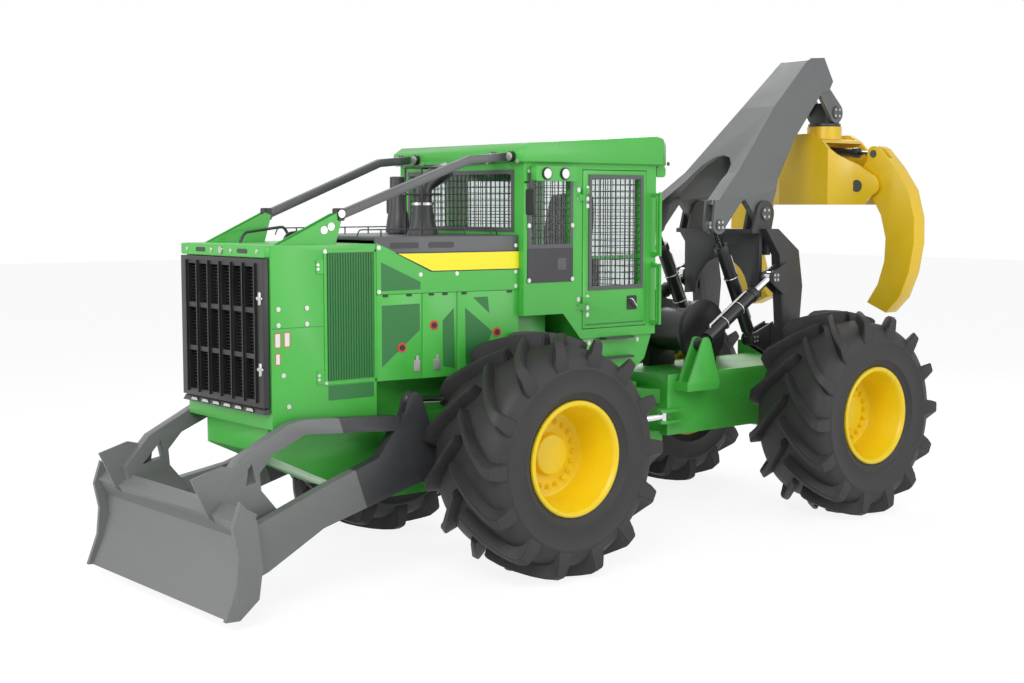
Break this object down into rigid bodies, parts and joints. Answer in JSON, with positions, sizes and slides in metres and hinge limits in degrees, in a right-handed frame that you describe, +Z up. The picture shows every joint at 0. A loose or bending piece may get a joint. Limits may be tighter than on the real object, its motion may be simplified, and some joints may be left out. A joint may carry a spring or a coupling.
{
  "type": "grapple skidder",
  "caption": "Articulated forestry skidder with a front stacking blade, enclosed cab, and a grapple hung from an arch and boom over the rear axle.",
  "frame": {"origin": "middle of the overall length and width, on the ground", "axes": "+Z up, machine drives towards -Y, its left side is +X"},
  "size_m": [3.04, 7.703, 4.2],
  "materials": {
    "green_paint": "satin",
    "yellow_paint": "satin",
    "grey_paint": "satin",
    "dark_paint": "satin",
    "black_paint": "satin",
    "axle_casting": "painted casting",
    "rod_chrome": "polished",
    "tyre_rubber": "matt",
    "seat_cloth": "woven"
  },
  "bodies": {
    "front_body": {"front_axle": "axle_casting", "front_frame": "green_paint", "engine_block": "black_paint", "radiator_housing": "green_paint", "hood": "grey_paint", "engine_side_left": "green_paint", "engine_side_right": "green_paint", "exhaust_stack": "black_paint", "cab_frame": "green_paint", "cab_roof": "green_paint", "cab_base": "green_paint", "seat_base": "black_paint", "seat": "seat_cloth", "brush_guard_left": "grey_paint", "brush_guard_right": "grey_paint"},
    "grille_door": {"grille_door": "black_paint"},
    "door_left": {"door_left": "green_paint"},
    "door_right": {"door_right": "green_paint"},
    "wheel_front_left": {"tyre_front_left": "tyre_rubber", "rim_front_left": "yellow_paint"},
    "wheel_front_right": {"tyre_front_right": "tyre_rubber", "rim_front_right": "yellow_paint"},
    "wheel_rear_left": {"tyre_rear_left": "tyre_rubber", "rim_rear_left": "yellow_paint"},
    "wheel_rear_right": {"tyre_rear_right": "tyre_rubber", "rim_rear_right": "yellow_paint"},
    "blade": {"blade": "grey_paint"},
    "blade_barrels": {"blade_left_barrel": "black_paint", "blade_right_barrel": "black_paint"},
    "blade_rods": {"blade_left_rod": "rod_chrome", "blade_right_rod": "rod_chrome"},
    "rear_body": {"rear_frame": "green_paint", "rear_axle": "axle_casting", "winch": "black_paint"},
    "arch": {"arch": "dark_paint"},
    "arch_barrels": {"arch_left_barrel": "black_paint", "arch_right_barrel": "black_paint"},
    "arch_rods": {"arch_left_rod": "rod_chrome", "arch_right_rod": "rod_chrome"},
    "boom": {"boom": "grey_paint"},
    "boom_barrels": {"boom_left_barrel": "black_paint", "boom_right_barrel": "black_paint"},
    "boom_rods": {"boom_left_rod": "rod_chrome", "boom_right_rod": "rod_chrome"},
    "crosshead": {"crosshead": "dark_paint"},
    "grapple_body": {"grapple_body": "yellow_paint"},
    "tong_left": {"tong_left": "yellow_paint"},
    "tong_left_barrel": {"tong_left_barrel": "black_paint"},
    "tong_left_rod": {"tong_left_rod": "rod_chrome"},
    "steering_left_barrel": {"steering_left_barrel": "black_paint"},
    "steering_left_rod": {"steering_left_rod": "rod_chrome"},
    "tong_right": {"tong_right": "yellow_paint"},
    "tong_right_barrel": {"tong_right_barrel": "black_paint"},
    "tong_right_rod": {"tong_right_rod": "rod_chrome"},
    "steering_right_barrel": {"steering_right_barrel": "black_paint"},
    "steering_right_rod": {"steering_right_rod": "rod_chrome"}
  },
  "joints": [
    {"name": "articulation", "type": "hinge", "parent": "front_body", "child": "rear_body", "pos_m": [0, 0.6725, 0.95], "axis": [0, 0, 1], "range_deg": [-45, 45]},
    {"name": "wheel_front_left", "type": "hinge", "parent": "front_body", "child": "wheel_front_left", "pos_m": [1.13, -1.1235, 0.915], "axis": [1, 0, 0], "continuous": true},
    {"name": "wheel_front_right", "type": "hinge", "parent": "front_body", "child": "wheel_front_right", "pos_m": [-1.13, -1.1235, 0.915], "axis": [1, 0, 0], "continuous": true},
    {"name": "wheel_rear_left", "type": "hinge", "parent": "rear_body", "child": "wheel_rear_left", "pos_m": [1.13, 2.4685, 0.915], "axis": [1, 0, 0], "continuous": true},
    {"name": "wheel_rear_right", "type": "hinge", "parent": "rear_body", "child": "wheel_rear_right", "pos_m": [-1.13, 2.4685, 0.915], "axis": [1, 0, 0], "continuous": true},
    {"name": "blade_lift", "type": "hinge", "parent": "front_body", "child": "blade", "pos_m": [0, -1.7435, 0.92], "axis": [1, 0, 0], "range_deg": [-25, 8]},
    {"name": "arch_swing", "type": "hinge", "parent": "rear_body", "child": "arch", "pos_m": [0, 2.4265, 1.22], "axis": [-1, 0, 0], "range_deg": [-10, 18]},
    {"name": "boom_lift", "type": "hinge", "parent": "arch", "child": "boom", "pos_m": [0, 2.1265, 2.7], "axis": [-1, 0, 0], "range_deg": [-2, 45]},
    {"name": "grapple_swing", "type": "hinge", "parent": "boom", "child": "crosshead", "pos_m": [0, 3.5365, 3.68], "axis": [1, 0, 0], "range_deg": [-2.5, 45.5]},
    {"name": "grapple_turn", "type": "hinge", "parent": "crosshead", "child": "grapple_body", "pos_m": [0, 3.5365, 3.5445], "axis": [0, 0, 1], "continuous": true},
    {"name": "tong_left", "type": "hinge", "parent": "grapple_body", "child": "tong_left", "pos_m": [0.53, 3.5365, 2.96], "axis": [0, -1, 0], "range_deg": [-32, 22]},
    {"name": "door_left", "type": "hinge", "parent": "front_body", "child": "door_left", "pos_m": [0.816, -0.4515, 1.8], "axis": [0, 0, -1], "range_deg": [0, 110]},
    {"name": "tong_right", "type": "hinge", "parent": "grapple_body", "child": "tong_right", "pos_m": [-0.53, 3.5365, 2.96], "axis": [0, 1, 0], "range_deg": [-32, 22]},
    {"name": "door_right", "type": "hinge", "parent": "front_body", "child": "door_right", "pos_m": [-0.816, -0.4515, 1.8], "axis": [0, 0, 1], "range_deg": [0, 110]},
    {"name": "grille_door", "type": "hinge", "parent": "front_body", "child": "grille_door", "pos_m": [-0.597, -3.1915, 1.38], "axis": [0, 0, -1], "range_deg": [0, 110]},
    {"name": "blade_cylinders_barrel", "type": "hinge", "parent": "front_body", "child": "blade_barrels", "pos_m": [0, -1.1235, 1.3], "axis": [1, 0, 0], "range_deg": [-8.14, 2.94]},
    {"name": "blade_cylinders_rod", "type": "slide", "parent": "blade_barrels", "child": "blade_rods", "axis": [0, -0.9985, 0.0555], "range_m": [-0.19735, 0.06587]},
    {"name": "arch_cylinders_barrel", "type": "hinge", "parent": "rear_body", "child": "arch_barrels", "pos_m": [0, 1.2065, 1.56], "axis": [1, 0, 0], "range_deg": [-4.67, 2.82]},
    {"name": "arch_cylinders_rod", "type": "slide", "parent": "arch_barrels", "child": "arch_rods", "axis": [0, 0.8517, 0.5241], "range_m": [-0.16271, 0.28968]},
    {"name": "boom_cylinders_barrel", "type": "hinge", "parent": "arch", "child": "boom_barrels", "pos_m": [0, 2.0465, 1.55], "axis": [1, 0, 0], "range_deg": [-10.41, 0.94]},
    {"name": "boom_cylinders_rod", "type": "slide", "parent": "boom_barrels", "child": "boom_rods", "axis": [0, -0.4369, 0.8995], "range_m": [-0.02187, 0.40606]},
    {"name": "tong_left_cylinder_barrel", "type": "hinge", "parent": "grapple_body", "child": "tong_left_barrel", "pos_m": [0, 3.503, 3.31], "axis": [0, -1, 0], "range_deg": [-6.58, 4.68]},
    {"name": "tong_left_cylinder_rod", "type": "slide", "parent": "tong_left_barrel", "child": "tong_left_rod", "axis": [0.9977, 0, -0.068], "range_m": [-0.11806, 0.1699]},
    {"name": "steering_left_cylinder_barrel", "type": "hinge", "parent": "front_body", "child": "steering_left_barrel", "pos_m": [0.56, -0.5635, 0.95], "axis": [0, 0, 1], "range_deg": [-2.69, 2.69]},
    {"name": "steering_left_cylinder_rod", "type": "slide", "parent": "steering_left_barrel", "child": "steering_left_rod", "axis": [-0.0585, 0.9983, 0], "range_m": [-0.36508, 0.36508]},
    {"name": "tong_right_cylinder_barrel", "type": "hinge", "parent": "grapple_body", "child": "tong_right_barrel", "pos_m": [0, 3.57, 3.31], "axis": [0, 1, 0], "range_deg": [-6.58, 4.68]},
    {"name": "tong_right_cylinder_rod", "type": "slide", "parent": "tong_right_barrel", "child": "tong_right_rod", "axis": [-0.9977, 0, -0.068], "range_m": [-0.11806, 0.1699]},
    {"name": "steering_right_cylinder_barrel", "type": "hinge", "parent": "front_body", "child": "steering_right_barrel", "pos_m": [-0.56, -0.5635, 0.95], "axis": [0, 0, 1], "range_deg": [-2.69, 2.69]},
    {"name": "steering_right_cylinder_rod", "type": "slide", "parent": "steering_right_barrel", "child": "steering_right_rod", "axis": [0.0585, 0.9983, 0], "range_m": [-0.36508, 0.36508]}
  ],
  "couplings": [
    {"joint": "grapple_swing", "follows": "boom_lift", "ratio": 1},
    {"joint": "blade_cylinders_barrel", "follows": "blade_lift", "ratio": 0.30562},
    {"joint": "blade_cylinders_rod", "follows": "blade_lift", "m_per_rad": 0.44312},
    {"joint": "arch_cylinders_barrel", "follows": "arch_swing", "ratio": -0.23165},
    {"joint": "arch_cylinders_rod", "follows": "arch_swing", "m_per_rad": 0.90936},
    {"joint": "boom_cylinders_barrel", "follows": "boom_lift", "ratio": -0.22023},
    {"joint": "boom_cylinders_rod", "follows": "boom_lift", "m_per_rad": 0.51192},
    {"joint": "tong_left_cylinder_barrel", "follows": "tong_left", "ratio": 0.19014},
    {"joint": "tong_left_cylinder_rod", "follows": "tong_left", "m_per_rad": -0.29704},
    {"joint": "steering_left_cylinder_barrel", "follows": "articulation", "ratio": 0.04869},
    {"joint": "steering_left_cylinder_rod", "follows": "articulation", "m_per_rad": 0.45974},
    {"joint": "tong_right_cylinder_barrel", "follows": "tong_right", "ratio": 0.19014},
    {"joint": "tong_right_cylinder_rod", "follows": "tong_right", "m_per_rad": -0.29704},
    {"joint": "steering_right_cylinder_barrel", "follows": "articulation", "ratio": 0.04869},
    {"joint": "steering_right_cylinder_rod", "follows": "articulation", "m_per_rad": -0.45974}
  ]
}
